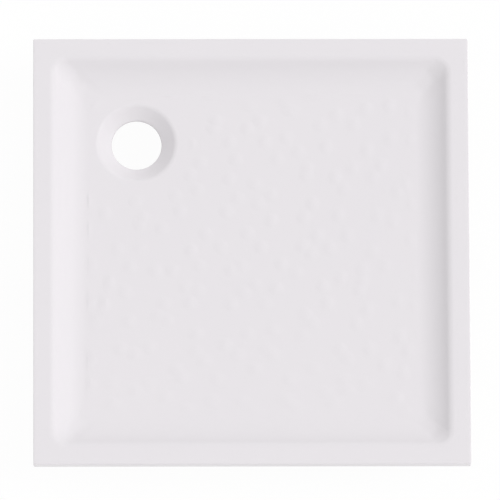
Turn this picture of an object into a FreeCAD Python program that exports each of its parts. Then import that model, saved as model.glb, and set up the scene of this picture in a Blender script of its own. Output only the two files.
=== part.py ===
import FreeCAD, Part
import math
import os
import Sketcher
from FreeCAD import Placement, Rotation, Vector

# Driving sizes, in millimetres and degrees. The origin is on the ground under the middle
# of the tray, +Z is up, +X is the tray's right and +Y is its back.
SIZES = {
    # Outline and rim
    "tray_width": 800,
    "tray_depth": 800,
    "rim_height": 150,
    "flange_height": 23,
    "sheet_wall": 4,
    "outer_corner_radius": 3,
    "inner_corner_radius": 1.5,
    "outer_edge_radius": 1.5,
    # Basin: flat walls that meet the rim and the floor on rounded edges
    "wall_inset": 36.5,
    "wall_slope": 37.5,
    "rim_edge_radius": 22,
    "wall_foot_radius": 78,
    "rim_corner_radius": 24,
    "low_corner_radius": 36,
    "low_corner_drop": 60,
    "floor_depth": 29,
    "floor_fall": 0.63,
    # Waste hole in its conical dish
    "waste_bore": 92,
    "lip_radius": 3,
    "dish_from_left": 118,
    "dish_from_back": 118,
    "dish_radius": 72,
    "dish_slope": 35,
    "dish_edge_radius": 16,
    # Glass-fibre backing and the bed that it makes for the board
    "grp_wall": 3,
    "grp_setback": 8,
    "bed_minimum": 1,
    "bed_lap": 1,
    # Base board and rim battens
    "board_margin": 60,
    "board_thickness": 15,
    "board_corner_radius": 20,
    "cutout_clearance": 23,
    "batten_width": 20,
    "batten_height": 15,
    "batten_gap": 2,
    # Leg places, and how far a leg screws out and in
    "leg_setback": 35,
    "lowering_range": 25,
    "raising_range": 4,
    "top_gap": 0.7,
    # Socket under the board
    "socket_skin": 3.5,
    "socket_flange_radius": 32,
    "socket_flange_height": 5,
    "socket_boss_radius": 17,
    "socket_boss_foot_radius": 14,
    "socket_clearance": 1.1,
    "socket_edge_radius": 1,
    "socket_rib_thickness": 3,
    "socket_rib_reach": 28,
    "socket_rib_drop": 26,
    "socket_rib_root": 3,
    # Screws that hold the socket
    "screw_circle_radius": 25,
    "screw_clearance": 0.3,
    "screw_shank_radius": 2,
    "screw_head_radius": 4,
    "screw_head_height": 2.6,
    "screw_face_radius": 2.8,
    "screw_face_drop": 1.3,
    "screw_tip": 3,
    "screw_grip": 12,
    "recess_reach": 2.2,
    "recess_width": 0.9,
    "recess_depth": 1.6,
    # Metric thread, nuts and washer
    "thread_radius": 5.9,
    "thread_clearance": 0.1,
    "thread_chamfer": 1.2,
    "nut_flats": 18,
    "nut_height": 10.8,
    "lock_nut_height": 6,
    "nut_chamfer_slope": 30,
    "washer_radius": 12,
    "washer_clearance": 0.6,
    "washer_thickness": 2.5,
    # Spindle below the thread
    "collar_flats": 17,
    "collar_height": 9,
    "journal_radius": 4.5,
    "journal_clearance": 0.1,
    "journal_length": 10,
    "journal_end_gap": 0.5,
    # Foot and its rubber pad
    "foot_radius": 30,
    "foot_thickness": 5,
    "foot_edge_radius": 1.5,
    "hub_height": 12,
    "hub_radius": 11,
    "hub_foot_radius": 13,
    "foot_rib_thickness": 2.5,
    "foot_rib_reach": 27,
    "foot_rib_height": 8,
    "foot_rib_count": 6,
    "foot_rib_root": 2,
    "pad_radius": 29,
    "pad_thickness": 3,
    "pad_edge_radius": 0.8,
    "stud_radius": 4,
    "stud_height": 3.5,
}

# Heights above the ground, and sizes that follow from the driving ones
LEVELS = {
    "flange_foot": "=sizes.rim_height - sizes.flange_height",
    "sheet_under": "=sizes.rim_height - sizes.sheet_wall",
    "ring_foot": "=sheet_under - sizes.grp_wall",
    "floor_edge": "=sizes.rim_height - sizes.floor_depth",
    "board_top": "=floor_edge - sizes.sheet_wall - sizes.grp_wall - sizes.bed_minimum",
    "board_under": "=board_top - sizes.board_thickness",
    "waste_x": "=sizes.dish_from_left + sizes.dish_radius - sizes.tray_width / 2",
    "waste_y": "=sizes.tray_depth / 2 - sizes.dish_from_back - sizes.dish_radius",
    "far_reach": "=sqrt(pow(sizes.tray_width / 2 - waste_x; 2)"
    " + pow(sizes.tray_depth / 2 + waste_y; 2))",
    "bed_height": "=sizes.bed_minimum + far_reach * tan(sizes.floor_fall) + sizes.bed_lap",
    "socket_height": "=sizes.socket_skin + sizes.top_gap + sizes.raising_range"
    " + sizes.lowering_range + sizes.nut_height",
    "socket_foot": "=board_under - socket_height",
    "socket_bore_top": "=board_under - sizes.socket_skin",
    "flange_under": "=board_under - sizes.socket_flange_height",
    "washer_foot": "=socket_foot - sizes.washer_thickness",
    "lock_nut_foot": "=washer_foot - sizes.lock_nut_height",
    "foot_top": "=sizes.pad_thickness + sizes.foot_thickness",
    "hub_top": "=foot_top + sizes.hub_height",
    "collar_top": "=hub_top + sizes.collar_height",
    "spindle_top": "=socket_foot + sizes.nut_height + sizes.lowering_range",
    "journal_foot": "=hub_top - sizes.journal_length",
    "screw_tip_top": "=board_under + sizes.screw_grip",
    "inner_width": "=sizes.tray_width - 2 * sizes.sheet_wall",
    "inner_depth": "=sizes.tray_depth - 2 * sizes.sheet_wall",
    "board_width": "=sizes.tray_width - 2 * sizes.board_margin",
    "board_depth": "=sizes.tray_depth - 2 * sizes.board_margin",
    "board_cutout": "=2 * (sizes.dish_radius + sizes.cutout_clearance)",
    "leg_x": "=board_width / 2 - sizes.leg_setback",
    "leg_y": "=board_depth / 2 - sizes.leg_setback",
    "socket_bore_radius": "=sizes.thread_radius + sizes.socket_clearance",
    "washer_bore_radius": "=sizes.thread_radius + sizes.washer_clearance",
    "screw_hole_radius": "=sizes.screw_shank_radius + sizes.screw_clearance",
    "batten_x": "=sizes.tray_width / 2 - sizes.sheet_wall - sizes.batten_gap",
    "batten_y": "=sizes.tray_depth / 2 - sizes.sheet_wall - sizes.batten_gap",
}

# The five legs, each with its place as a share of leg_x and leg_y
LEGS = {
    "front_left": (-1, -1),
    "front_right": (1, -1),
    "back_left": (-1, 1),
    "back_right": (1, 1),
    "centre": (0, 0),
}

# How closely a point must lie on a level or a circle to count as on it
ON_EDGE = 0.05
# The straight overrun of a cutting form past the face that it opens
OVERRUN = 10
# How far a rib runs into the plate that it stands on
RIB_LAP = 1
# Each socket is held by four screws, the first of them on its diagonal
SCREW_COUNT = 4
SCREW_START = 45

doc = FreeCAD.newDocument("shower_tray")


def fill_sheet(name, rows):
    sheet = doc.addObject("Spreadsheet::Sheet", name)
    for row, (alias, value) in enumerate(rows.items(), start=1):
        sheet.set(f"A{row}", alias)
        sheet.set(f"B{row}", str(value))
        sheet.setAlias(f"B{row}", alias)
    doc.recompute()
    return sheet


sizes = fill_sheet("sizes", SIZES)
levels = fill_sheet("levels", LEVELS)


def worth(expression):
    return float(sizes.evalExpression(expression))


# ---- Bodies, sketches and features ----


def new_body(label, x="0", y="0", turned=0):
    body = doc.addObject("PartDesign::Body", label)
    body.Label = label
    body.Placement = Placement(Vector(), Rotation(Vector(0, 0, 1), turned))
    body.setExpression("Placement.Base.x", x)
    body.setExpression("Placement.Base.y", y)
    return body


def origin_item(body, role):
    return next(item for item in body.Origin.OriginFeatures if item.Role == role)


def new_sketch(body, name, height="0", plane="XY_Plane"):
    sketch = body.newObject("Sketcher::SketchObject", f"{body.Name}_{name}")
    sketch.AttachmentSupport = [(origin_item(body, plane), "")]
    sketch.MapMode = "FlatFace"
    sketch.setExpression("AttachmentOffset.Base.z", height)
    return sketch


def bind(sketch, constraint, expression):
    index = sketch.addConstraint(constraint)
    sketch.setExpression(f"Constraints[{index}]", expression)


def hold_point(sketch, line, end, x, y):
    bind(sketch, Sketcher.Constraint("DistanceX", -1, 1, line, end, worth(x)), x)
    bind(sketch, Sketcher.Constraint("DistanceY", -1, 1, line, end, worth(y)), y)


# A closed outline of straight lines through corners given as pairs of expressions
def add_polygon(sketch, corners):
    points = [Vector(worth(x), worth(y), 0) for x, y in corners]
    first = sketch.GeometryCount
    for start, end in zip(points, points[1:] + points[:1]):
        sketch.addGeometry(Part.LineSegment(start, end))
    for step, (x, y) in enumerate(corners):
        following = first + (step + 1) % len(corners)
        sketch.addConstraint(Sketcher.Constraint("Coincident", first + step, 2, following, 1))
        hold_point(sketch, first + step, 1, x, y)


def add_circle(sketch, x, y, radius):
    middle = Vector(worth(x), worth(y), 0)
    circle = sketch.addGeometry(Part.Circle(middle, Vector(0, 0, 1), worth(radius)))
    bind(sketch, Sketcher.Constraint("Radius", circle, worth(radius)), radius)
    hold_point(sketch, circle, 3, x, y)


# A rectangle round the origin with four equal rounded corners
def add_rounded_rectangle(sketch, half_x, half_y, radius):
    x, y, r = worth(half_x), worth(half_y), worth(radius)
    turned_sides = [
        ((r - x, -y), (x - r, -y)),
        ((x, r - y), (x, y - r)),
        ((x - r, y), (r - x, y)),
        ((-x, y - r), (-x, r - y)),
    ]
    centres = [(x - r, r - y), (x - r, y - r), (r - x, y - r), (r - x, r - y)]
    for start, end in turned_sides:
        sketch.addGeometry(Part.LineSegment(Vector(*start, 0), Vector(*end, 0)))
    for quarter, centre in enumerate(centres, start=-1):
        circle = Part.Circle(Vector(*centre, 0), Vector(0, 0, 1), r)
        start, end = math.radians(90 * quarter), math.radians(90 * (quarter + 1))
        sketch.addGeometry(Part.ArcOfCircle(circle, start, end))
    for side in range(4):
        sketch.addConstraint(Sketcher.Constraint("Tangent", side, 2, 4 + side, 1))
        sketch.addConstraint(Sketcher.Constraint("Tangent", 4 + side, 2, (side + 1) % 4, 1))
    for corner in (5, 6, 7):
        sketch.addConstraint(Sketcher.Constraint("Equal", 4, corner))
    sketch.addConstraint(Sketcher.Constraint("Symmetric", 0, 1, 0, 2, -2))
    sketch.addConstraint(Sketcher.Constraint("Symmetric", 1, 1, 1, 2, -1))
    sketch.addConstraint(Sketcher.Constraint("Horizontal", 2))
    sketch.addConstraint(Sketcher.Constraint("Vertical", 3))
    bind(sketch, Sketcher.Constraint("Radius", 4, r), radius)
    bind(sketch, Sketcher.Constraint("DistanceX", 3, 1, 1, 1, 2 * x), f"2 * ({half_x})")
    bind(sketch, Sketcher.Constraint("DistanceY", 0, 1, 2, 1, 2 * y), f"2 * ({half_y})")


def pad(body, sketch, length, midplane=False):
    feature = body.newObject("PartDesign::Pad", f"{sketch.Name}_pad")
    feature.Profile = sketch
    feature.setExpression("Length", length)
    feature.Midplane = midplane
    return feature


# A pocket upwards from its sketch, through everything where no length is given
def pocket_up(body, sketch, length=None):
    feature = body.newObject("PartDesign::Pocket", f"{sketch.Name}_pocket")
    feature.Profile = sketch
    feature.Reversed = True
    if length is None:
        feature.Type = "ThroughAll"
    else:
        feature.setExpression("Length", length)
    return feature


def turn(body, sketch, kind="Revolution"):
    feature = body.newObject(f"PartDesign::{kind}", f"{sketch.Name}_turned")
    feature.Profile = sketch
    feature.ReferenceAxis = (sketch, ["V_Axis"])
    feature.Angle = 360
    return feature


def turned_piece(body, corners):
    sketch = new_sketch(body, "profile", plane="XZ_Plane")
    add_polygon(sketch, corners)
    return turn(body, sketch)


def repeat_round(body, feature, count):
    pattern = body.newObject("PartDesign::PolarPattern", f"{feature.Name}_round")
    pattern.Originals = [feature]
    pattern.Axis = (origin_item(body, "Z_Axis"), [""])
    pattern.Angle = 360
    pattern.Occurrences = count
    body.Tip = pattern
    return pattern


def combine(body, tool, kind):
    feature = body.newObject("PartDesign::Boolean", f"{body.Name}_{kind}_{tool.Name}")
    feature.Type = kind
    feature.addObject(tool)
    return feature


def points_along(edge, count=9):
    first, last = edge.ParameterRange
    return [edge.valueAt(first + (last - first) * step / (count - 1)) for step in range(count)]


# Rounds every edge of the body whose points all pass the test
def round_edges(body, radius, test):
    doc.recompute()
    base = body.Tip
    chosen = []
    for number, edge in enumerate(base.Shape.Edges, start=1):
        if all(test(point) for point in points_along(edge)):
            chosen.append(f"Edge{number}")
    feature = body.newObject("PartDesign::Fillet", f"{body.Name}_rounded")
    feature.Base = (base, chosen)
    feature.setExpression("Radius", radius)
    return feature


def at_level(level):
    return lambda point: abs(point.z - worth(level)) < ON_EDGE


def on_circle(radius, level):
    def test(point):
        return at_level(level)(point) and abs(math.hypot(point.x, point.y) - worth(radius)) < ON_EDGE

    return test


# ---- The basin as a form, used to raise and to hollow the sheet and its backing ----


# Half the basin's width at a height, on the face that lies `skin` outside the visible one
def basin_half(side, height, skin):
    run = f"({height} - sizes.rim_height) / tan(sizes.wall_slope)"
    return f"sizes.{side} / 2 - sizes.wall_inset + {run} + {skin} / sin(sizes.wall_slope)"


def basin_corner(height, skin):
    drop = f"(sizes.rim_height - ({height})) / sizes.low_corner_drop"
    growth = f"(sizes.low_corner_radius - sizes.rim_corner_radius) * {drop}"
    return f"sizes.rim_corner_radius + {growth} + {skin} / sin(sizes.wall_slope)"


def from_waste(point):
    return math.hypot(point.x - worth("levels.waste_x"), point.y - worth("levels.waste_y"))


# The space inside the basin, grown outwards by `skin` and closed at the height `head`
def basin_form(label, skin, head):
    body = new_body(label)
    outlines = []
    for name, height in (("head", head), ("low", "sizes.rim_height - sizes.low_corner_drop")):
        outline = new_sketch(body, name, height)
        half_x = basin_half("tray_width", height, skin)
        half_y = basin_half("tray_depth", height, skin)
        add_rounded_rectangle(outline, half_x, half_y, basin_corner(height, skin))
        outlines.append(outline)
    walls = body.newObject("PartDesign::AdditiveLoft", f"{label}_walls")
    walls.Profile = outlines[0]
    walls.Sections = outlines[1:]
    walls.Ruled = True

    # The floor falls to the dish all round, so it is trimmed to a turned profile. The flat
    # middle of that profile is cut away by the waste hole.
    dish_edge = f"(sizes.dish_radius + {skin} * tan(sizes.dish_slope / 2))"
    dish_low = "(sizes.waste_bore / 3)"
    far = "(sizes.tray_width + sizes.tray_depth)"
    floor = f"levels.floor_edge - {skin}"
    dish_base = f"{floor} - ({dish_edge} - {dish_low}) * tan(sizes.dish_slope)"
    trim = new_sketch(body, "floor", "levels.waste_x", "YZ_Plane")
    trim.setExpression("AttachmentOffset.Base.x", "levels.waste_y")
    add_polygon(
        trim,
        [
            ("0", dish_base),
            (dish_low, dish_base),
            (dish_edge, floor),
            (far, f"{floor} + ({far} - sizes.dish_radius) * tan(sizes.floor_fall)"),
            (far, "0"),
            ("0", "0"),
        ],
    )
    turn(body, trim, "Groove")

    def on_wall_foot(point):
        distance = from_waste(point)
        rise = (distance - worth("sizes.dish_radius")) * math.tan(math.radians(worth("sizes.floor_fall")))
        clear_of_dish = distance > worth(dish_edge) + OVERRUN
        return clear_of_dish and abs(point.z - worth(floor) - rise) < ON_EDGE

    def on_dish_edge(point):
        return abs(from_waste(point) - worth(dish_edge)) < ON_EDGE

    round_edges(body, f"sizes.wall_foot_radius + {skin}", on_wall_foot)
    round_edges(body, f"sizes.dish_edge_radius - {skin}", on_dish_edge)
    return body


# A test for the edges round the basin's opening in a flat face at a level
def round_opening(level):
    def test(point):
        inside_x = abs(point.x) < worth("(sizes.tray_width - sizes.wall_inset) / 2")
        inside_y = abs(point.y) < worth("(sizes.tray_depth - sizes.wall_inset) / 2")
        return at_level(level)(point) and inside_x and inside_y

    return test


def bore_at_waste(body, radius):
    hole = new_sketch(body, "waste")
    add_circle(hole, "levels.waste_x", "levels.waste_y", radius)
    return pocket_up(body, hole)


# ---- Tray ----


def make_shell():
    body = new_body("acrylic_shell")
    slab = new_sketch(body, "outline", "levels.flange_foot")
    add_rounded_rectangle(slab, "sizes.tray_width / 2", "sizes.tray_depth / 2", "sizes.outer_corner_radius")
    pad(body, slab, "sizes.flange_height")
    round_edges(body, "sizes.outer_edge_radius", at_level("sizes.rim_height"))
    hollow = new_sketch(body, "flange", "levels.flange_foot")
    add_rounded_rectangle(
        hollow, "levels.inner_width / 2", "levels.inner_depth / 2", "sizes.inner_corner_radius"
    )
    pocket_up(body, hollow, "sizes.flange_height - sizes.sheet_wall")
    underside = basin_form("shell_underside", "sizes.sheet_wall", "(sizes.rim_height - sizes.sheet_wall / 2)")
    combine(body, underside, "Fuse")
    under_radius = "sizes.rim_edge_radius - sizes.sheet_wall"
    round_edges(body, under_radius, round_opening("levels.sheet_under"))
    topside = basin_form("shell_topside", "0", f"(sizes.rim_height + {OVERRUN})")
    combine(body, topside, "Cut")
    round_edges(body, "sizes.rim_edge_radius", round_opening("sizes.rim_height"))
    bore_at_waste(body, "sizes.waste_bore / 2")
    dish_drop = "(sizes.dish_radius - sizes.waste_bore / 2) * tan(sizes.dish_slope)"
    lip_level = worth(f"levels.floor_edge - {dish_drop}")

    def on_lip(point):
        on_bore = abs(from_waste(point) - worth("sizes.waste_bore / 2")) < ON_EDGE
        return on_bore and abs(point.z - lip_level) < ON_EDGE

    round_edges(body, "sizes.lip_radius", on_lip)
    return body


def make_backing():
    body = new_body("grp_reinforcement")
    ring = new_sketch(body, "ring", "levels.ring_foot")
    add_rounded_rectangle(
        ring, "levels.inner_width / 2", "levels.inner_depth / 2", "sizes.inner_corner_radius"
    )
    pad(body, ring, "sizes.grp_wall")
    skin = "(sizes.sheet_wall + sizes.grp_wall)"
    back = basin_form("grp_back", skin, "(levels.sheet_under - sizes.grp_wall / 2)")
    combine(body, back, "Fuse")
    round_edges(body, f"sizes.rim_edge_radius - {skin}", round_opening("levels.ring_foot"))
    bed = new_sketch(body, "bed", "levels.board_top")
    add_rounded_rectangle(
        bed, "levels.board_width / 2", "levels.board_depth / 2", "sizes.board_corner_radius"
    )
    add_circle(bed, "levels.waste_x", "levels.waste_y", "levels.board_cutout / 2")
    pad(body, bed, "levels.bed_height")
    front = basin_form("grp_front", "sizes.sheet_wall", "(sizes.rim_height - sizes.sheet_wall / 2)")
    combine(body, front, "Cut")
    round_edges(body, "sizes.rim_edge_radius - sizes.sheet_wall", round_opening("levels.sheet_under"))
    bore_at_waste(body, "sizes.waste_bore / 2 + sizes.grp_setback")
    return body


# The middle of a leg, and of each of its four screws
def leg_place(share_x, share_y):
    return f"{share_x} * levels.leg_x", f"{share_y} * levels.leg_y"


def screw_places(share_x, share_y):
    leg_x, leg_y = leg_place(share_x, share_y)
    places = []
    for screw in range(SCREW_COUNT):
        angle = SCREW_START + 360 / SCREW_COUNT * screw
        x = f"{leg_x} + sizes.screw_circle_radius * cos({angle})"
        y = f"{leg_y} + sizes.screw_circle_radius * sin({angle})"
        places.append((x, y))
    return places


def make_board():
    body = new_body("base_board")
    outline = new_sketch(body, "outline", "levels.board_under")
    add_rounded_rectangle(
        outline, "levels.board_width / 2", "levels.board_depth / 2", "sizes.board_corner_radius"
    )
    add_circle(outline, "levels.waste_x", "levels.waste_y", "levels.board_cutout / 2")
    pad(body, outline, "sizes.board_thickness")
    pilots = new_sketch(body, "pilots", "levels.board_under")
    for shares in LEGS.values():
        for x, y in screw_places(*shares):
            add_circle(pilots, x, y, "sizes.screw_shank_radius")
    pocket_up(body, pilots, "sizes.screw_grip")
    return body


# The front and back battens run the full width, and the side ones fit between them
def make_batten(label, across, side):
    batten = doc.addObject("Part::Box", label)
    batten.Label = label
    batten.setExpression("Height", "sizes.batten_height")
    batten.setExpression("Placement.Base.z", "levels.ring_foot - sizes.batten_height")
    if across:
        batten.setExpression("Length", "2 * levels.batten_x")
        batten.setExpression("Width", "sizes.batten_width")
        batten.setExpression("Placement.Base.x", "-levels.batten_x")
        middle = f"{side} * (levels.batten_y - sizes.batten_width / 2)"
        batten.setExpression("Placement.Base.y", f"{middle} - sizes.batten_width / 2")
    else:
        batten.setExpression("Length", "sizes.batten_width")
        batten.setExpression("Width", "2 * (levels.batten_y - sizes.batten_width)")
        batten.setExpression("Placement.Base.y", "sizes.batten_width - levels.batten_y")
        middle = f"{side} * (levels.batten_x - sizes.batten_width / 2)"
        batten.setExpression("Placement.Base.x", f"{middle} - sizes.batten_width / 2")
    return batten


# ---- Legs, each modelled on its own upright axis ----


def hexagon(flats):
    reach = f"{flats} / sqrt(3)"
    return [(f"{reach} * cos({60 * side})", f"{reach} * sin({60 * side})") for side in range(6)]


# Takes the six points off one end of a hexagon: end is 1 for its top and -1 for its foot
def chamfer_points(body, flats, level, end):
    outside = f"({flats} * 2 / 3)"
    drop = f"({outside} - {flats} / 2) * tan(sizes.nut_chamfer_slope)"
    wedge = new_sketch(body, "points", plane="XZ_Plane")
    corners = [(f"{flats} / 2", level), (outside, level), (outside, f"{level} - {end} * {drop}")]
    add_polygon(wedge, corners)
    turn(body, wedge, "Groove")


def make_socket(label, x, y):
    body = new_body(label, x, y)
    turned_piece(
        body,
        [
            ("0", "levels.board_under"),
            ("sizes.socket_flange_radius", "levels.board_under"),
            ("sizes.socket_flange_radius", "levels.flange_under"),
            ("sizes.socket_boss_radius", "levels.flange_under"),
            ("sizes.socket_boss_foot_radius", "levels.socket_foot"),
            ("levels.socket_bore_radius", "levels.socket_foot"),
            ("levels.socket_bore_radius", "levels.socket_bore_top"),
            ("0", "levels.socket_bore_top"),
        ],
    )
    round_edges(
        body, "sizes.socket_edge_radius", on_circle("sizes.socket_flange_radius", "levels.flange_under")
    )
    rib = new_sketch(body, "rib", plane="XZ_Plane")
    rib_root = "levels.socket_bore_radius + sizes.socket_rib_root"
    rib_top = f"levels.flange_under + {RIB_LAP}"
    rib_foot = "levels.flange_under - sizes.socket_rib_drop"
    add_polygon(
        rib,
        [
            (rib_root, rib_top),
            ("sizes.socket_rib_reach", rib_top),
            ("sizes.socket_rib_reach", "levels.flange_under"),
            ("sizes.socket_boss_foot_radius", rib_foot),
            (rib_root, rib_foot),
        ],
    )
    one_rib = pad(body, rib, "sizes.socket_rib_thickness", midplane=True)
    doc.recompute()
    repeat_round(body, one_rib, SCREW_COUNT)
    nut_seat = new_sketch(body, "nut_seat", "levels.socket_foot")
    add_polygon(nut_seat, hexagon("sizes.nut_flats"))
    pocket_up(body, nut_seat, "sizes.nut_height")
    holes = new_sketch(body, "holes", f"levels.flange_under - {OVERRUN}")
    for hole_x, hole_y in screw_places(0, 0):
        add_circle(holes, hole_x, hole_y, "levels.screw_hole_radius")
    pocket_up(body, holes)
    return body


def make_nut(label, x, y, foot, height):
    body = new_body(label, x, y)
    outline = new_sketch(body, "outline", foot)
    add_polygon(outline, hexagon("sizes.nut_flats"))
    add_circle(outline, "0", "0", "sizes.thread_radius + sizes.thread_clearance")
    pad(body, outline, height)
    chamfer_points(body, "sizes.nut_flats", foot, -1)
    chamfer_points(body, "sizes.nut_flats", f"{foot} + {height}", 1)
    return body


def make_screws(label, x, y):
    body = new_body(label, x, y, turned=SCREW_START)
    body.AllowCompound = True
    profile = new_sketch(body, "profile", plane="XZ_Plane")
    profile.setExpression("AttachmentOffset.Base.x", "sizes.screw_circle_radius")
    head_foot = "levels.flange_under - sizes.screw_head_height"
    add_polygon(
        profile,
        [
            ("0", head_foot),
            ("sizes.screw_face_radius", head_foot),
            ("sizes.screw_head_radius", f"{head_foot} + sizes.screw_face_drop"),
            ("sizes.screw_head_radius", "levels.flange_under"),
            ("sizes.screw_shank_radius", "levels.flange_under"),
            ("sizes.screw_shank_radius", "levels.screw_tip_top - sizes.screw_tip"),
            ("0", "levels.screw_tip_top"),
        ],
    )
    screw = turn(body, profile)
    recess = new_sketch(body, "recess", head_foot)
    reach, half = "sizes.recess_reach", "(sizes.recess_width / 2)"
    middle = "sizes.screw_circle_radius"
    arms = [(reach, half), (half, half), (half, reach)]
    corners = []
    for quarter in range(4):
        angle = 90 * quarter
        for along, aside in arms:
            x_part = f"{middle} + {along} * cos({angle}) - {aside} * sin({angle})"
            y_part = f"{along} * sin({angle}) + {aside} * cos({angle})"
            corners.append((x_part, y_part))
    add_polygon(recess, corners)
    slot = pocket_up(body, recess, "sizes.recess_depth")
    doc.recompute()
    pattern = repeat_round(body, screw, SCREW_COUNT)
    pattern.Originals = [screw, slot]
    return body


def make_washer(label, x, y):
    body = new_body(label, x, y)
    outline = new_sketch(body, "outline", "levels.washer_foot")
    add_circle(outline, "0", "0", "sizes.washer_radius")
    add_circle(outline, "0", "0", "levels.washer_bore_radius")
    pad(body, outline, "sizes.washer_thickness")
    return body


def make_spindle(label, x, y):
    body = new_body(label, x, y)
    turned_piece(
        body,
        [
            ("0", "levels.journal_foot"),
            ("sizes.journal_radius", "levels.journal_foot"),
            ("sizes.journal_radius", "levels.hub_top"),
            ("sizes.thread_radius", "levels.hub_top"),
            ("sizes.thread_radius", "levels.spindle_top - sizes.thread_chamfer"),
            ("sizes.thread_radius - sizes.thread_chamfer", "levels.spindle_top"),
            ("0", "levels.spindle_top"),
        ],
    )
    collar = new_sketch(body, "collar", "levels.hub_top")
    add_polygon(collar, hexagon("sizes.collar_flats"))
    pad(body, collar, "sizes.collar_height")
    chamfer_points(body, "sizes.collar_flats", "levels.collar_top", 1)
    return body


def make_foot(label, x, y):
    body = new_body(label, x, y)
    bore = "sizes.journal_radius + sizes.journal_clearance"
    bore_foot = "levels.journal_foot - sizes.journal_end_gap"
    stud_top = "sizes.pad_thickness + sizes.stud_height"
    turned_piece(
        body,
        [
            ("0", stud_top),
            ("sizes.stud_radius", stud_top),
            ("sizes.stud_radius", "sizes.pad_thickness"),
            ("sizes.foot_radius", "sizes.pad_thickness"),
            ("sizes.foot_radius", "levels.foot_top"),
            ("sizes.hub_foot_radius", "levels.foot_top"),
            ("sizes.hub_radius", "levels.hub_top"),
            (bore, "levels.hub_top"),
            (bore, bore_foot),
            ("0", bore_foot),
        ],
    )
    round_edges(body, "sizes.foot_edge_radius", on_circle("sizes.foot_radius", "levels.foot_top"))
    rib = new_sketch(body, "rib", plane="XZ_Plane")
    inner = f"{bore} + sizes.foot_rib_root"
    rib_foot = f"levels.foot_top - {RIB_LAP}"
    add_polygon(
        rib,
        [
            (inner, rib_foot),
            ("sizes.foot_rib_reach", rib_foot),
            ("sizes.foot_rib_reach", "levels.foot_top"),
            ("sizes.hub_radius", "levels.foot_top + sizes.foot_rib_height"),
            (inner, "levels.foot_top + sizes.foot_rib_height"),
        ],
    )
    one_rib = pad(body, rib, "sizes.foot_rib_thickness", midplane=True)
    doc.recompute()
    repeat_round(body, one_rib, SIZES["foot_rib_count"])
    return body


def make_pad(label, x, y):
    body = new_body(label, x, y)
    stud_top = "sizes.pad_thickness + sizes.stud_height"
    turned_piece(
        body,
        [
            ("0", "0"),
            ("sizes.pad_radius - sizes.pad_edge_radius", "0"),
            ("sizes.pad_radius", "sizes.pad_edge_radius"),
            ("sizes.pad_radius", "sizes.pad_thickness"),
            ("sizes.stud_radius", "sizes.pad_thickness"),
            ("sizes.stud_radius", stud_top),
            ("0", stud_top),
        ],
    )
    return body


def make_leg(place, shares):
    x, y = leg_place(*shares)
    captive = (f"captive_nut_{place}", x, y, "levels.socket_foot", "sizes.nut_height")
    locking = (f"lock_nut_{place}", x, y, "levels.lock_nut_foot", "sizes.lock_nut_height")
    return [
        make_socket(f"leg_socket_{place}", x, y),
        make_nut(*captive),
        make_screws(f"socket_screws_{place}", x, y),
        make_washer(f"washer_{place}", x, y),
        make_nut(*locking),
        make_spindle(f"spindle_{place}", x, y),
        make_foot(f"foot_{place}", x, y),
        make_pad(f"foot_pad_{place}", x, y),
    ]


pieces = [make_shell(), make_backing(), make_board()]
pieces.append(make_batten("front_batten", True, -1))
pieces.append(make_batten("back_batten", True, 1))
pieces.append(make_batten("left_batten", False, -1))
pieces.append(make_batten("right_batten", False, 1))
for leg_name, leg_shares in LEGS.items():
    pieces.extend(make_leg(leg_name, leg_shares))
doc.recompute()

# Nothing is written until every object and every piece is sound
for item in doc.Objects:
    if "Invalid" in item.State or "Error" in item.State:
        raise RuntimeError(f"{item.Label} could not be built: {item.State}")
for piece in pieces:
    if piece.Shape.isNull() or not piece.Shape.isValid():
        raise RuntimeError(f"{piece.Label} has no sound shape")

os.makedirs("parts", exist_ok=True)
for piece in pieces:
    piece.Shape.exportStep(f"parts/{piece.Label}.step")
    print(f"{piece.Label}: {len(piece.Shape.Solids)} solid, {piece.Shape.Volume / 1000:.1f} cm3")
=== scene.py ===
import math

import bpy
import numpy as np
from mathutils import Euler, Matrix, Vector


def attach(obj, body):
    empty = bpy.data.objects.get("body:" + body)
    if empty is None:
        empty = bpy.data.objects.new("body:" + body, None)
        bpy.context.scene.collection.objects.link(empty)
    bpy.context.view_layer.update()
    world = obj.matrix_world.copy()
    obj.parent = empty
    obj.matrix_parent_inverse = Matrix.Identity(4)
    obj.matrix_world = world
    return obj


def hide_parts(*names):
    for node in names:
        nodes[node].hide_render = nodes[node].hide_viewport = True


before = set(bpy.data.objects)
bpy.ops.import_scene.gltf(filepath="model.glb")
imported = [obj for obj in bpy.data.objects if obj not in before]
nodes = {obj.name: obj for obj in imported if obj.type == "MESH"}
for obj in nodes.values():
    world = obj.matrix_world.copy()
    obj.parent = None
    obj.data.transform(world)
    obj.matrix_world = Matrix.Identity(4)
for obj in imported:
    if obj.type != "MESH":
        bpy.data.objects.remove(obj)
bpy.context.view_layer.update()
legNames = ["front_left", "front_right", "back_left", "back_right", "centre"]
milli = 0.001
print("frame loaded:", len(nodes), "nodes")


# ---- Camera, light and ground ----

view = {
    "distance": 20.0,  # a long lens from far off keeps the rim nearly square
    "lens": 785.0,
    "sensor": 36,
    "clip": (1, 100),
    "target": (-0.00264, 0.00095, 0.150),
    "tilt": 12.92,  # degrees off plumb, towards the front
    "yaw": -0.843,
    "roll": -0.264,
}

light = {
    # strength, spread in degrees, and the way that each lamp's light comes from
    "lamps": {
        "keyRight": (1.36, 26, (0.89, 0.0, 1.0)),
        "fillFront": (0.21, 40, (0.0, -0.848, 0.53)),
        "fillBack": (0.27, 40, (0.0, 0.848, 0.53)),
    },
    "lampReach": 3,
    "skyStrength": 0.598,
    "groundSize": 120.0,
    "groundLevel": -0.0005,
    "groundWhite": (0.98, 0.98, 0.98, 1),
    "groundGlow": 0.965,  # the rest of the ground's white is lit, and takes the shadow
}


def only(obj):
    bpy.ops.object.select_all(action="DESELECT")
    obj.select_set(True)
    bpy.context.view_layer.objects.active = obj


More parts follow.
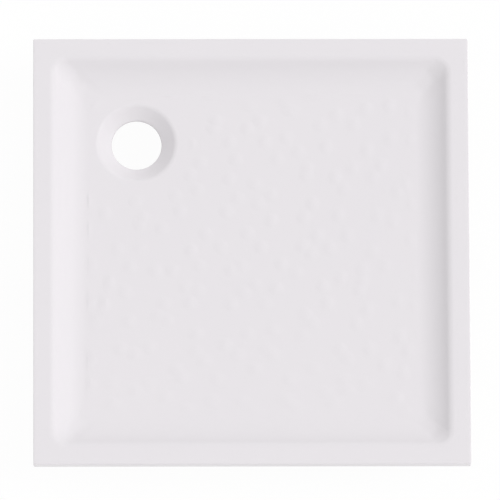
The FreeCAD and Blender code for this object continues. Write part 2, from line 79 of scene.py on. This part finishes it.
def placeCamera():
    turn = Euler([math.radians(view[k]) for k in ("tilt", "yaw", "roll")], "XYZ").to_matrix()
    bpy.ops.object.camera_add()
    camera = bpy.context.object
    camera.name = "productCamera"
    camera.data.lens = view["lens"]
    camera.data.sensor_width = view["sensor"]
    camera.data.clip_start, camera.data.clip_end = view["clip"]
    spot = Vector(view["target"]) + turn @ Vector((0, 0, view["distance"]))
    camera.matrix_world = Matrix.Translation(spot) @ turn.to_4x4()
    bpy.context.scene.camera = camera


# What the camera sees itself or in gloss and glass: 1 for those rays, else 0
def seenRays(tree):
    path = tree.nodes.new("ShaderNodeLightPath")
    total = path.outputs["Is Camera Ray"]
    for name in ("Is Glossy Ray", "Is Transmission Ray"):
        larger = tree.nodes.new("ShaderNodeMath")
        larger.operation = "MAXIMUM"
        tree.links.new(total, larger.inputs[0])
        tree.links.new(path.outputs[name], larger.inputs[1])
        total = larger.outputs[0]
    return total


def lightTheScene():
    for name, (strength, spread, comesFrom) in light["lamps"].items():
        bpy.ops.object.light_add(type="SUN", location=Vector(comesFrom) * light["lampReach"])
        lamp = bpy.context.object
        lamp.name = lamp.data.name = name
        lamp.data.energy = strength
        lamp.data.angle = math.radians(spread)
        lamp.rotation_euler = Vector(comesFrom).to_track_quat("Z", "Y").to_euler()
        lamp.visible_glossy = False  # gloss shows the even white room, not the lamps
    world = bpy.data.worlds.new("studio")
    world.use_nodes = True
    tree = world.node_tree
    tree.nodes.clear()
    soft = tree.nodes.new("ShaderNodeBackground")
    soft.inputs["Strength"].default_value = light["skyStrength"]
    soft.inputs["Color"].default_value = (1, 1, 1, 1)
    white = tree.nodes.new("ShaderNodeBackground")
    white.inputs["Strength"].default_value = 1
    white.inputs["Color"].default_value = (1, 1, 1, 1)
    mix = tree.nodes.new("ShaderNodeMixShader")
    out = tree.nodes.new("ShaderNodeOutputWorld")
    tree.links.new(seenRays(tree), mix.inputs[0])
    tree.links.new(soft.outputs[0], mix.inputs[1])
    tree.links.new(white.outputs[0], mix.inputs[2])
    tree.links.new(mix.outputs[0], out.inputs[0])
    bpy.context.scene.world = world


def layGround():
    bpy.ops.mesh.primitive_plane_add(size=light["groundSize"], location=(0, 0, light["groundLevel"]))
    ground = bpy.context.object
    ground.name = "studioGround"
    finish = bpy.data.materials.new("paleGround")
    finish.use_nodes = True
    tree = finish.node_tree
    tree.nodes.clear()
    lit = tree.nodes.new("ShaderNodeBsdfDiffuse")
    lit.inputs["Color"].default_value = light["groundWhite"]
    glow = tree.nodes.new("ShaderNodeEmission")
    glow.inputs["Color"].default_value = (1, 1, 1, 1)
    glow.inputs["Strength"].default_value = 1
    share = tree.nodes.new("ShaderNodeMath")
    share.operation = "MULTIPLY"
    share.inputs[1].default_value = light["groundGlow"]
    mix = tree.nodes.new("ShaderNodeMixShader")
    out = tree.nodes.new("ShaderNodeOutputMaterial")
    tree.links.new(seenRays(tree), share.inputs[0])
    tree.links.new(share.outputs[0], mix.inputs[0])
    tree.links.new(lit.outputs[0], mix.inputs[1])
    tree.links.new(glow.outputs[0], mix.inputs[2])
    tree.links.new(mix.outputs[0], out.inputs[0])
    ground.data.materials.append(finish)


bpy.context.scene.view_settings.view_transform = "Standard"
placeCamera()
lightTheScene()
layGround()
print("camera, light and ground set")


# ---- Finishes ----


# A material with a plain shader, and a small toolbox for wiring patterns into it
class Finish:
    def __init__(self, name, **constants):
        self.material = bpy.data.materials.new(name)
        self.material.use_nodes = True
        self.tree = self.material.node_tree
        self.shader = self.tree.nodes["Principled BSDF"]
        for socket, value in constants.items():
            self.shader.inputs[socket.replace("_", " ")].default_value = value
        self.place = self.tree.nodes.new("ShaderNodeTexCoord").outputs["Object"]

    def add(self, kind, links=None, values=None, **settings):
        made = self.tree.nodes.new(kind)
        for key, value in settings.items():
            setattr(made, key, value)
        for key, value in (values or {}).items():
            made.inputs[key].default_value = value
        for key, source in (links or {}).items():
            self.tree.links.new(source, made.inputs[key])
        return made

    def stretched(self, scale, turn=(0, 0, 0)):
        values = {"Scale": scale, "Rotation": [math.radians(a) for a in turn]}
        return self.add("ShaderNodeMapping", {"Vector": self.place}, values).outputs[0]

    def noise(self, scale, detail=2.0, roughness=0.5, distortion=0.0, vector=None):
        values = {"Scale": scale, "Detail": detail, "Roughness": roughness, "Distortion": distortion}
        return self.add("ShaderNodeTexNoise", {"Vector": vector or self.place}, values).outputs[0]

    def cells(self, scale, output="Distance", feature="F1", vector=None):
        links = {"Vector": vector or self.place}
        made = self.add("ShaderNodeTexVoronoi", links, {"Scale": scale}, feature=feature)
        return made.outputs[output]

    def spread(self, source, low, high, fromLow=0.3, fromHigh=0.7):
        values = {"From Min": fromLow, "From Max": fromHigh, "To Min": low, "To Max": high}
        return self.add("ShaderNodeMapRange", {"Value": source}, values).outputs[0]

    def ramp(self, source, *stops):
        made = self.add("ShaderNodeValToRGB", {"Fac": source})
        while len(made.color_ramp.elements) < len(stops):
            made.color_ramp.elements.new(0.5)
        for element, (place, colour) in zip(made.color_ramp.elements, stops):
            element.position = place
            element.color = (*colour, 1)
        return made.outputs[0]

    def blend(self, share, first, second, kind="MIX"):
        made = self.add("ShaderNodeMix", data_type="RGBA", blend_type=kind)
        self.feed(made.inputs[0], share)
        self.feed(made.inputs[6], first)
        self.feed(made.inputs[7], second)
        return made.outputs[2]

    def sums(self, kind, first, second):
        made = self.add("ShaderNodeMath", operation=kind)
        self.feed(made.inputs[0], first)
        self.feed(made.inputs[1], second)
        return made.outputs[0]

    def feed(self, socket, value):
        if isinstance(value, bpy.types.NodeSocket):
            self.tree.links.new(value, socket)
        elif isinstance(value, tuple):
            socket.default_value = (*value, 1)
        else:
            socket.default_value = value

    def colour(self, source):
        self.tree.links.new(source, self.shader.inputs["Base Color"])

    def rough(self, source):
        self.tree.links.new(source, self.shader.inputs["Roughness"])

    # Height in metres, laid over any bump that is there already
    def bump(self, height, depth, strength=1.0):
        made = self.add("ShaderNodeBump", {"Height": height}, {"Strength": strength, "Distance": depth})
        before = self.shader.inputs["Normal"].links
        if before:
            self.tree.links.new(before[0].from_socket, made.inputs["Normal"])
        self.tree.links.new(made.outputs[0], self.shader.inputs["Normal"])


acrylicLook = {
    "cool": (0.794, 0.768, 0.796),
    "warm": (0.804, 0.777, 0.802),
    "gloss": (0.18, 0.28),
    "ripple": 0.00002,
}


def makeAcrylic():
    look = Finish("whiteAcrylic", IOR=1.49)
    drift = look.noise(6, detail=1)
    look.colour(look.blend(look.spread(drift, 0, 1, 0, 1), acrylicLook["cool"], acrylicLook["warm"]))
    look.rough(look.spread(look.noise(14, detail=1), *acrylicLook["gloss"], 0, 1))
    look.bump(look.noise(260, detail=1), acrylicLook["ripple"], 0.3)
    return look.material


fibreLook = {
    "resin": (0.56, 0.56, 0.46),
    "strand": (0.76, 0.76, 0.69),
    "shade": (0.46, 0.45, 0.34),
    "turns": (11, 47, 83, 119, 155),
    "relief": 0.0009,
}


# Chopped strands lie every way under the resin
def makeGlassFibre():
    look = Finish("glassFibreResin", IOR=1.55)
    lay = None
    for number, turn in enumerate(fibreLook["turns"]):
        along = look.stretched((34, 420, 420), (12 * number, 9, turn))
        strand = look.spread(look.noise(1, detail=1, distortion=0.15, vector=along), 0, 1, 0.60, 0.68)
        lay = strand if lay is None else look.sums("MAXIMUM", lay, strand)
    clouds = look.noise(17, detail=5, roughness=0.65)
    pool = look.ramp(clouds, (0.35, fibreLook["shade"]), (0.62, fibreLook["resin"]))
    look.colour(look.blend(look.sums("MULTIPLY", lay, 0.75), pool, fibreLook["strand"]))
    look.rough(look.spread(clouds, 0.62, 0.30))
    look.bump(look.noise(60, detail=4, roughness=0.6), fibreLook["relief"] * 2, 0.7)
    look.bump(lay, fibreLook["relief"], 0.6)
    return look.material


boardLook = {
    "pale": (0.60, 0.60, 0.42),
    "tan": (0.47, 0.42, 0.27),
    "dark": (0.22, 0.19, 0.11),
    "green": (0.33, 0.42, 0.27),
    "relief": 0.0006,
}


def makeChipboard():
    look = Finish("chipboard", IOR=1.45)
    flat = look.stretched((1, 1, 2.4))
    wander = look.noise(90, detail=2)
    bent = look.add("ShaderNodeVectorMath", {0: flat, 1: wander}, operation="ADD").outputs[0]
    chips = look.cells(330, "Color", vector=bent)
    tone = look.add("ShaderNodeSeparateColor", {0: chips})
    stops = ((0.0, boardLook["dark"]), (0.30, boardLook["tan"]), (0.85, boardLook["pale"]))
    wood = look.ramp(tone.outputs[0], *stops)
    tinted = look.blend(look.spread(tone.outputs[1], 0, 0.55, 0.55, 0.9), wood, boardLook["green"])
    edges = look.cells(330, "Distance", "DISTANCE_TO_EDGE", vector=bent)
    gaps = look.spread(edges, 0.35, 1.0, 0.0, 0.10)
    look.colour(look.blend(1.0, tinted, gaps, "MULTIPLY"))
    look.rough(look.spread(tone.outputs[2], 0.68, 0.88, 0, 1))
    look.bump(edges, boardLook["relief"], 0.5)
    look.bump(look.noise(1500, detail=3), boardLook["relief"] / 4, 0.5)
    return look.material


woodLook = {
    "pale": (0.74, 0.55, 0.34),
    "line": (0.52, 0.33, 0.17),
    "knot": (0.30, 0.17, 0.08),
    "saw": 0.00025,
}


# Grain runs the length of a batten, along X or along Y
def makeSoftwood(name, along):
    look = Finish(name, IOR=1.45)
    squeeze = (1.4, 46, 46) if along == "x" else (46, 1.4, 46)
    grain = look.stretched(squeeze)
    rings = look.noise(1.6, detail=4, roughness=0.55, distortion=0.35, vector=grain)
    bands = look.spread(look.sums("SINE", look.sums("MULTIPLY", rings, 46), 0), 0, 1, -1, 1)
    body = look.blend(bands, woodLook["pale"], woodLook["line"])
    spots = look.cells(4.2)
    look.colour(look.blend(look.spread(spots, 0.85, 0, 0.015, 0.05), body, woodLook["knot"]))
    fibres = look.noise(9, detail=5, roughness=0.7, vector=grain)
    look.rough(look.spread(fibres, 0.60, 0.82))
    across = look.stretched((900, 20, 20) if along == "x" else (20, 900, 20))
    look.bump(look.noise(1, detail=1, vector=across), woodLook["saw"], 0.35)
    look.bump(fibres, woodLook["saw"] * 2, 0.5)
    return look.material


nylonLook = {"deep": (0.022, 0.022, 0.025), "worn": (0.050, 0.050, 0.054), "grain": 0.00008}


def makeNylon(name, scale):
    look = Finish(name, IOR=1.53)
    patches = look.noise(24, detail=5, roughness=0.6)
    look.colour(look.blend(look.spread(patches, 0, 1), nylonLook["deep"], nylonLook["worn"]))
    look.rough(look.spread(look.noise(60, detail=4), 0.42, 0.60))
    look.bump(look.noise(scale, detail=2), nylonLook["grain"], 0.6)
    return look.material


zincLook = {
    "bright": (0.72, 0.73, 0.75),
    "dull": (0.50, 0.52, 0.55),
    "straw": (0.70, 0.66, 0.52),
    "scratch": 0.00004,
}


def makeZinc():
    look = Finish("zincSteel", Metallic=1.0)
    bloom = look.noise(70, detail=6, roughness=0.62)
    plated = look.blend(look.spread(bloom, 0, 1), zincLook["bright"], zincLook["dull"])
    tarnish = look.spread(look.noise(34, detail=3), 0, 0.30, 0.50, 0.75)
    look.colour(look.blend(tarnish, plated, zincLook["straw"]))
    look.rough(look.spread(bloom, 0.24, 0.46))
    turned = look.stretched((90, 90, 2600))
    look.bump(look.noise(1, detail=2, vector=turned), zincLook["scratch"], 0.5)
    return look.material


rubberLook = {"deep": (0.030, 0.030, 0.031), "dusty": (0.085, 0.083, 0.080), "grain": 0.00012}


def makeRubber():
    look = Finish("padRubber", IOR=1.52)
    dust = look.noise(55, detail=6, roughness=0.7)
    look.colour(look.blend(look.spread(dust, 0, 1, 0.45, 0.75), rubberLook["deep"], rubberLook["dusty"]))
    look.rough(look.spread(dust, 0.70, 0.92))
    look.bump(look.noise(900, detail=3), rubberLook["grain"], 0.6)
    return look.material


finishes = {
    "acrylic": makeAcrylic(),
    "fibre": makeGlassFibre(),
    "board": makeChipboard(),
    "woodX": makeSoftwood("softwoodAcross", "x"),
    "woodY": makeSoftwood("softwoodDeep", "y"),
    "socket": makeNylon("socketNylon", 700),
    "foot": makeNylon("footNylon", 900),
    "zinc": makeZinc(),
    "rubber": makeRubber(),
}
print("finishes made:", len(finishes))


# ---- Acrylic sheet ----

# Millimetres and degrees, as the tray is made
tray = {
    "half": 400,
    "rimTop": 150,
    "flangeFoot": 127,
    "sheet": 4,
    "outerCorner": 3,
    "innerCorner": 1.5,
    "outerEdge": 1.5,
    "footEdge": 0.5,
    "wallInset": 36.5,
    "wallSlope": 37.5,
    "rimEdge": 22,
    "wallFoot": 78,
    "rimCorner": 24,
    "cornerGrowth": 0.2,  # the corner's radius grows by this for each millimetre down
    "tightest": 12,  # corner radius of the first row of the wall's foot
    "floorLevel": 121,
    "floorFall": 0.63,
    "waste": (-210, 210),
    "bore": 46,
    "lip": 3,
    "dish": 72,
    "dishSlope": 35,
    "dishEdge": 16,
}

mesh = {
    "sideSteps": 80,
    "cornerSteps": 11,
    "nearShare": 0.5,  # how far the spokes spread by their angle at the waste, and not by length
    "spokeHalf": 294,  # the square, with this corner, that the spokes are spread on
    "spokeCorner": 47,
    "dishBends": 12,
    "lipBends": 8,
    "topRows": (150, 14, 8),  # floor, foot of the wall and edge of the rim
    "underRows": (6, 6, 4),
    "cornerEasing": 17,
    "cornerSpan": 90,
    "levels": (20.0, 190.0),  # the wall's height at a spot is searched for between these
    "crease": 38,
    "weld": 0.000002,
}

# Raised spots: a radius and a stray together stay under half the pitch
grip = {
    "pitch": (68, 62),
    "radius": 14,
    "height": 0.99,
    "leastShare": 0.7,
    "roundness": 1.25,
    "stray": 17,
    "scatter": 4375.8,
    "clearOfDish": 96,
    "fade": 12,
}


# Around the square: where each spoke meets the unit square, and the way that its corner faces
def spokesRound():
    half = mesh["spokeHalf"]
    flat = half - mesh["spokeCorner"]
    fine = np.linspace(-1, 1, 2001)
    rows = []
    for side in range(4):
        turn = side * math.pi / 2
        face = np.array([math.cos(turn), math.sin(turn)])
        along = np.array([-math.sin(turn), math.cos(turn)])
        walk = face * half + np.outer(fine * flat, along) - np.array(tray["waste"])
        angle = np.unwrap(np.arctan2(walk[:, 1], walk[:, 0]))
        share = (angle - angle[0]) / (angle[-1] - angle[0])
        pace = (fine + 1) / 2 * (1 - mesh["nearShare"]) + share * mesh["nearShare"]
        stops = np.interp(np.arange(1, mesh["sideSteps"]) / mesh["sideSteps"], pace, fine)
        for stop in stops:
            rows.append((*(face + along * stop), math.cos(turn), math.sin(turn)))
        for step in range(mesh["cornerSteps"] + 1):
            bend = turn + math.pi / 2 * step / mesh["cornerSteps"]
            rows.append((*(face + along), math.cos(bend), math.sin(bend)))
    table = np.array(rows)
    return table[:, :2], table[:, 2:]


squareSpot, cornerWay = spokesRound()
wallRun = 1 / math.tan(math.radians(tray["wallSlope"]))
# The wall is steepest on the sides and eases round the corners
steepness = np.arctan(
    1 / ((wallRun + tray["cornerGrowth"]) * np.abs(cornerWay).sum(1) - tray["cornerGrowth"])
)


def ring(half, corner):
    half, corner = np.broadcast_to(half, len(squareSpot)), np.broadcast_to(corner, len(squareSpot))
    return squareSpot * (half - corner)[:, None] + cornerWay * corner[:, None]


def wallSizes(height, skin):
    out = skin / math.sin(math.radians(tray["wallSlope"]))
    half = tray["half"] - tray["wallInset"] + (height - tray["rimTop"]) * wallRun + out
    corner = tray["rimCorner"] + tray["cornerGrowth"] * (tray["rimTop"] - height) + out
    return half, corner


def wallRing(height, skin):
    return ring(*wallSizes(height, skin))


def floorHeight(spots, skin):
    reach = np.linalg.norm(spots - np.array(tray["waste"]), axis=-1)
    fall = math.tan(math.radians(tray["floorFall"]))
    return tray["floorLevel"] - skin + (reach - tray["dish"]) * fall


# The ring on the wall that stands this far above the floor, and its heights
def ringOverFloor(rise, skin):
    height = np.full(len(squareSpot), float(tray["floorLevel"]))
    for _ in range(12):
        height = floorHeight(wallRing(height, skin), skin) + rise
    return wallRing(height, skin), height


# Floor and wall joined by a curve of this radius, at any spots between them
def footHeight(spots, skin, radius):
    low, high = (np.full(len(spots), level) for level in mesh["levels"])
    for _ in range(40):
        level = (low + high) / 2
        half, corner = wallSizes(level, skin)
        past = np.abs(spots) - (half - corner)[:, None]
        beyond = np.clip(past, 0, None)
        outside = np.linalg.norm(beyond, axis=1) + np.minimum(past.max(1), 0) > corner
        low, high = np.where(outside, level, low), np.where(outside, high, level)
    spread = beyond.sum(1) / np.maximum(np.linalg.norm(beyond, axis=1), 1e-9)
    spread = np.clip(spread, 1, math.sqrt(2))
    tangent = 1 / ((wallRun + tray["cornerGrowth"]) * spread - tray["cornerGrowth"])
    floor = floorHeight(spots, skin)
    reach = radius * np.tan(np.arctan(tangent) / 2)
    run = np.clip((level - floor) / tangent + reach, 0, radius * 0.99)
    curve = floor + radius - np.sqrt(radius**2 - run**2)
    return np.where(run < radius * np.sin(np.arctan(tangent)), curve, level)


# This many steps between two ends, without the ends
def between(start, end, count):
    return [start + (end - start) * share for share in np.linspace(0, 1, count + 2)[1:-1]]


def raised(spots, height):
    return np.column_stack([spots, np.broadcast_to(height, len(spots))])


# Hole, dish and the dish's edge, from the waste outwards, as pairs of reach and height
def dishProfile(skin):
    slope, fall = math.radians(tray["dishSlope"]), math.radians(tray["floorFall"])
    radius = tray["dishEdge"] - skin
    vertex = tray["dish"] + skin * math.tan(slope / 2)
    level = tray["floorLevel"] - skin + (vertex - tray["dish"]) * math.tan(fall)
    reach = radius * math.tan((slope - fall) / 2)
    middle = (
        vertex + reach * math.cos(fall) + radius * math.sin(fall),
        level + reach * math.sin(fall) - radius * math.cos(fall),
    )
    bends = np.linspace(slope, fall, mesh["dishBends"])
    arc = [(middle[0] - radius * math.sin(b), middle[1] + radius * math.cos(b)) for b in bends]
    start = level - (vertex - tray["bore"]) * math.tan(slope)
    profile = []
    if skin == 0:
        lip = tray["lip"]
        centre = (tray["bore"] + lip, start + lip * math.tan(slope) - lip / math.cos(slope))
        for bend in np.linspace(math.pi / 2, slope, mesh["lipBends"]):
            profile.append((centre[0] - lip * math.sin(bend), centre[1] + lip * math.cos(bend)))
    else:
        profile.append((tray["bore"], start))
    cone = between(np.array(profile[-1]), np.array(arc[0]), 4)
    return profile + [tuple(spot) for spot in cone] + arc


# The faint raised spots that stop a foot slipping, scattered unevenly over the floor
def gripHeight(spots):
    pitch = np.array(grip["pitch"])
    total = np.zeros(len(spots))
    for shift in (-0.25, 0.25):
        local = spots / pitch + shift
        cell = np.rint(local)
        count = cell @ (12.99, 78.23) + shift * 40
        luck = np.sin(np.column_stack([count, count + 3.7, count + 9.2])) * grip["scatter"]
        luck -= np.floor(luck)
        stray = (luck[:, :2] - 0.5) * 2 * grip["stray"]
        gap = np.linalg.norm((local - cell) * pitch - stray, axis=1) / grip["radius"]
        tall = grip["leastShare"] + (1 - grip["leastShare"]) * luck[:, 2]
        dome = (1 - np.clip(gap, 0, 1) ** 2) ** grip["roundness"] * tall
        total = np.maximum(total, dome)
    reach = np.linalg.norm(spots - np.array(tray["waste"]), axis=1)
    return total * np.clip((reach - grip["clearOfDish"]) / grip["fade"], 0, 1) * grip["height"]


# Two walls' feet roll together near a corner's diagonal: the height is an average close round a spot
def easedHeight(spots, skin, radius, reach):
    aside = np.abs(np.abs(spots[:, 0]) - np.abs(spots[:, 1])) / mesh["cornerSpan"]
    reach = (reach * (1 - np.clip(aside, 0, 1)) ** 2)[:, None]
    total = 0
    for bend in np.arange(8) / 8 * 2 * math.pi:
        for share in (0.4, 1.0):
            shift = reach * share * (math.cos(bend), math.sin(bend))
            total = total + footHeight(spots + shift, skin, radius) / 16
    return total


# Every row round the basin from the dish's edge to the flat of the rim
def basinRows(skin, floorRows, footRows, edgeRows):
    radius = tray["wallFoot"] + skin
    edge = tray["rimEdge"] - skin
    level = tray["rimTop"] - skin
    tangent = np.tan(steepness)

    # The curve at the wall's foot runs from the floor, well inside where the two would meet
    own = radius * np.tan(steepness / 2)
    half, corner = wallSizes(ringOverFloor(0, skin)[1], skin)
    inward = radius * math.tan(math.radians(tray["wallSlope"] / 2))
    footStart = ring(half - inward, np.maximum(corner - inward, tray["tightest"]))
    footEnd, footTop = ringOverFloor(own * np.sin(steepness), skin)

    def footRow(share):
        spots = footStart + (footEnd - footStart) * share
        reach = mesh["cornerEasing"] * math.sin(math.pi * share)
        return raised(spots, easedHeight(spots, skin, radius, reach))

    def rimRow(bend):
        run = edge * np.sin(bend) - edge * np.tan(steepness / 2)
        spots = wallRing(level - run * tangent, skin)
        return raised(spots, level - edge * (1 - np.cos(bend))), level - run * tangent

    way = footStart - np.array(tray["waste"])
    way = way / np.linalg.norm(way, axis=1)[:, None]
    dish = dishProfile(skin)
    rows = [raised(np.array(tray["waste"]) + way * reach, height) for reach, height in dish]
    inner = rows[-1][:, :2]
    for share in np.linspace(0, 1, floorRows + 1)[1:-1]:
        spots = inner + (footStart - inner) * share
        lift = gripHeight(spots) * np.clip((1 - share) * 20, 0, 1) if skin == 0 else 0
        rows.append(raised(spots, floorHeight(spots, skin) + lift))
    slope = math.radians(tray["wallSlope"])
    for bend in np.linspace(0, slope, footRows + 1):
        rows.append(footRow(math.sin(bend) / math.sin(slope)))
    edgeHeight = rimRow(steepness)[1]
    for height in between(footTop, edgeHeight, 2):
        rows.append(raised(wallRing(height, skin), height))
    for share in np.linspace(1, 0, edgeRows + 1):
        rows.append(rimRow(steepness * share)[0])
    return rows


# Over the rim's outer edge, down the flange and back up inside it
def flangeRows():
    half, top, foot, sheet = tray["half"], tray["rimTop"], tray["flangeFoot"], tray["sheet"]
    radius, small = tray["outerEdge"], tray["footEdge"]
    rows = []
    for bend in np.linspace(0, math.pi / 2, 7):
        inset = radius * (1 - math.sin(bend))
        corner = max(tray["outerCorner"] - inset, 0.3)
        rows.append(raised(ring(half - inset, corner), top - radius * (1 - math.cos(bend))))
    for height in np.linspace(top - radius, foot + small, 4)[1:]:
        rows.append(raised(ring(half, tray["outerCorner"]), height))
    rows.append(raised(ring(half - small, tray["outerCorner"] - small), foot))
    rows.append(raised(ring(half - sheet + small, tray["innerCorner"] + small), foot))
    for height in np.linspace(foot + small, top - sheet, 3):
        rows.append(raised(ring(half - sheet, tray["innerCorner"]), height))
    return rows


# Rows of points, each going once round, laid on a grid that is then joined to itself
def wrapGrid(name, rows, closed):
    rows = [np.vstack([row, row[:1]]) for row in rows]
    if closed:
        rows.append(rows[0])
    points = np.array(rows) * milli
    down, along = points.shape[0] - 1, points.shape[1] - 1
    bpy.ops.object.select_all(action="DESELECT")
    bpy.ops.mesh.primitive_grid_add(x_subdivisions=along, y_subdivisions=down, size=1)
    obj = bpy.context.object
    obj.name = obj.data.name = name
    spots = np.zeros(len(obj.data.vertices) * 3)
    obj.data.vertices.foreach_get("co", spots)
    spots = spots.reshape(-1, 3)
    column = np.rint((spots[:, 0] + 0.5) * along).astype(int)
    row = np.rint((spots[:, 1] + 0.5) * down).astype(int)
    obj.data.vertices.foreach_set("co", points[row, column].ravel())
    bpy.ops.object.mode_set(mode="EDIT")
    bpy.ops.mesh.select_all(action="SELECT")
    bpy.ops.mesh.remove_doubles(threshold=mesh["weld"])
    bpy.ops.mesh.normals_make_consistent(inside=False)
    bpy.ops.object.mode_set(mode="OBJECT")
    return obj


def smoothUnder(obj, degrees):
    only(obj)
    bpy.ops.object.shade_smooth_by_angle(angle=math.radians(degrees))


def settle(obj, body, finish, slot, *replaced):
    obj.data.materials.clear()
    obj.data.materials.append(finishes[finish])
    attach(obj, body)
    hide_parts(*replaced)


def makeSheet():
    top = basinRows(0, *mesh["topRows"])
    under = basinRows(tray["sheet"], *mesh["underRows"])
    outer = flangeRows()
    flat = between(top[-1], outer[0], 3)
    back = between(outer[-1], under[-1], 2)
    rows = top + flat + outer + back + under[::-1]
    sheet = wrapGrid("acrylicSheet", rows, closed=True)
    smoothUnder(sheet, mesh["crease"])
    settle(sheet, "tray", "acrylic", "white_acrylic", "acrylic_shell")
    print("acrylic sheet:", len(sheet.data.polygons), "faces")


makeSheet()


# ---- Legs ----

thread = {
    "pitch": 1.75,
    "crest": 5.9,
    "root": 4.85,
    "steps": 32,
    "rowsPerTurn": 8,
    "collarTop": 29,
    "from": 28.6,
    "to": 89.8,
    "chamfer": 1.2,
    "shape": ((0, 0.08, 0.42, 0.58, 0.92, 1), (1, 1, 0, 0, 1, 1)),  # share of a turn, share of the depth
}

copies = {"weld": 0.000004, "flat": 1, "bevelFrom": 32, "crease": 40}


# A merged copy of a node's mesh, with no long thin triangles left on its flat faces
def freshCopy(nodeName, name):
    obj = bpy.data.objects.new(name, nodes[nodeName].data.copy())
    bpy.context.scene.collection.objects.link(obj)
    only(obj)
    bpy.ops.object.mode_set(mode="EDIT")
    bpy.ops.mesh.select_all(action="SELECT")
    bpy.ops.mesh.remove_doubles(threshold=copies["weld"])
    bpy.ops.mesh.dissolve_limited(angle_limit=math.radians(copies["flat"]))
    bpy.ops.object.mode_set(mode="OBJECT")
    return obj


def softenEdges(obj, width, segments=2):
    only(obj)
    bpy.ops.object.modifier_add(type="BEVEL")
    bevel = obj.modifiers[-1]
    bevel.width = width * milli
    bevel.segments = segments
    bevel.limit_method = "ANGLE"
    bevel.angle_limit = math.radians(copies["bevelFrom"])
    bevel.harden_normals = False
    bpy.ops.object.modifier_apply(modifier=bevel.name)


softened = [
    # node, body, finish, slot, width of the edge in millimetres
    ("leg_socket", "tray", "socket", "socket_nylon", 0.5),
    ("captive_nut", "tray", "zinc", "zinc_steel", 0.3),
    ("socket_screws", "tray", "zinc", "zinc_steel", 0.15),
    ("washer", "washer_body", "zinc", "zinc_steel", 0.35),
    ("lock_nut", "lock_nut_body", "zinc", "zinc_steel", 0.3),
    ("foot", "foot_body", "foot", "foot_nylon", 0.5),
    ("foot_pad", "foot_body", "rubber", "pad_rubber", 0.3),
]


def bodyFor(stem, leg):
    return stem if stem == "tray" else f"{stem}_{leg}"


def makeFittings():
    for leg in legNames:
        for node, body, finish, slot, width in softened:
            words = node.split("_")
            name = words[0] + "".join(word.title() for word in words[1:]) + "Piece_" + leg
            piece = freshCopy(f"{node}_{leg}", name)
            softenEdges(piece, width)
            smoothUnder(piece, copies["crease"])
            settle(piece, bodyFor(body, leg), finish, slot, f"{node}_{leg}")
    print("fittings softened:", len(softened) * len(legNames))


# Heights of the rows up a spindle, and its reach at each point, for a right-hand thread
def threadRows(x, y):
    steps, perTurn = thread["steps"], thread["rowsPerTurn"]
    low, high, top = thread["from"], thread["to"], thread["crest"] - thread["chamfer"]
    bend = np.arange(steps) / steps * 2 * math.pi
    place = np.column_stack([np.cos(bend), np.sin(bend)])

    def row(reach, height):
        return raised(place * np.broadcast_to(reach, steps)[:, None] + (x, y), height)

    rows = [row(0.0, low), row(thread["root"], low)]
    count = int((high - low) / thread["pitch"] * perTurn)
    for height in np.linspace(low, high, count + 1)[1:-1]:
        share = ((height - low) / thread["pitch"] - bend / (2 * math.pi)) % 1
        profile = np.interp(share, *thread["shape"])
        reach = thread["root"] + (thread["crest"] - thread["root"]) * profile
        rows.append(row(np.minimum(reach, top + high - height), height))
    return rows + [row(top * share, high) for share in (1.0, 0.9, 0.45, 0.0)]


def spindleBox(obj):
    spots = np.zeros(len(obj.data.vertices) * 3)
    obj.data.vertices.foreach_get("co", spots)
    spots = spots.reshape(-1, 3)[:, :2]
    return spots.min(0), spots.max(0)


# The collar and journal come from the node, and a real thread stands on them
def makeSpindle(leg):
    piece = freshCopy(f"spindle_{leg}", f"spindlePart_{leg}")
    x, y = ((low + high) / 2 / milli for low, high in zip(*spindleBox(piece)))
    only(piece)
    bpy.ops.object.mode_set(mode="EDIT")
    bpy.ops.mesh.select_all(action="SELECT")
    bpy.ops.mesh.bisect(
        plane_co=(0, 0, (thread["collarTop"] + 0.5) * milli),
        plane_no=(0, 0, 1),
        clear_outer=True,
        use_fill=True,
    )
    bpy.ops.object.mode_set(mode="OBJECT")
    softenEdges(piece, 0.3)
    smoothUnder(piece, copies["crease"])
    rod = wrapGrid(f"threadedRod_{leg}", threadRows(x, y), closed=False)
    smoothUnder(rod, copies["crease"])
    only(rod)
    piece.select_set(True)
    bpy.context.view_layer.objects.active = piece
    bpy.ops.object.join()
    settle(piece, f"spindle_body_{leg}", "zinc", "zinc_steel", f"spindle_{leg}")


makeFittings()
for leg in legNames:
    makeSpindle(leg)
print("spindles threaded:", len(legNames))


# ---- Backing, board and battens ----

plain = [
    # node, name, finish, slot, width of the edge in millimetres
    ("base_board", "chipboardBase", "board", "chipboard", 0.8),
    ("front_batten", "battenFront", "woodX", "softwood", 0.9),
    ("back_batten", "battenBack", "woodX", "softwood", 0.9),
    ("left_batten", "battenLeft", "woodY", "softwood", 0.9),
    ("right_batten", "battenRight", "woodY", "softwood", 0.9),
]


def makeWoodwork():
    for node, name, finish, slot, width in plain:
        piece = freshCopy(node, name)
        softenEdges(piece, width)
        smoothUnder(piece, copies["crease"])
        settle(piece, "tray", finish, slot, node)
    print("board and battens eased:", len(plain))


makeWoodwork()
backing = nodes["grp_reinforcement"]
backing.data.materials.clear()
backing.data.materials.append(finishes["fibre"])
print("backing finished")
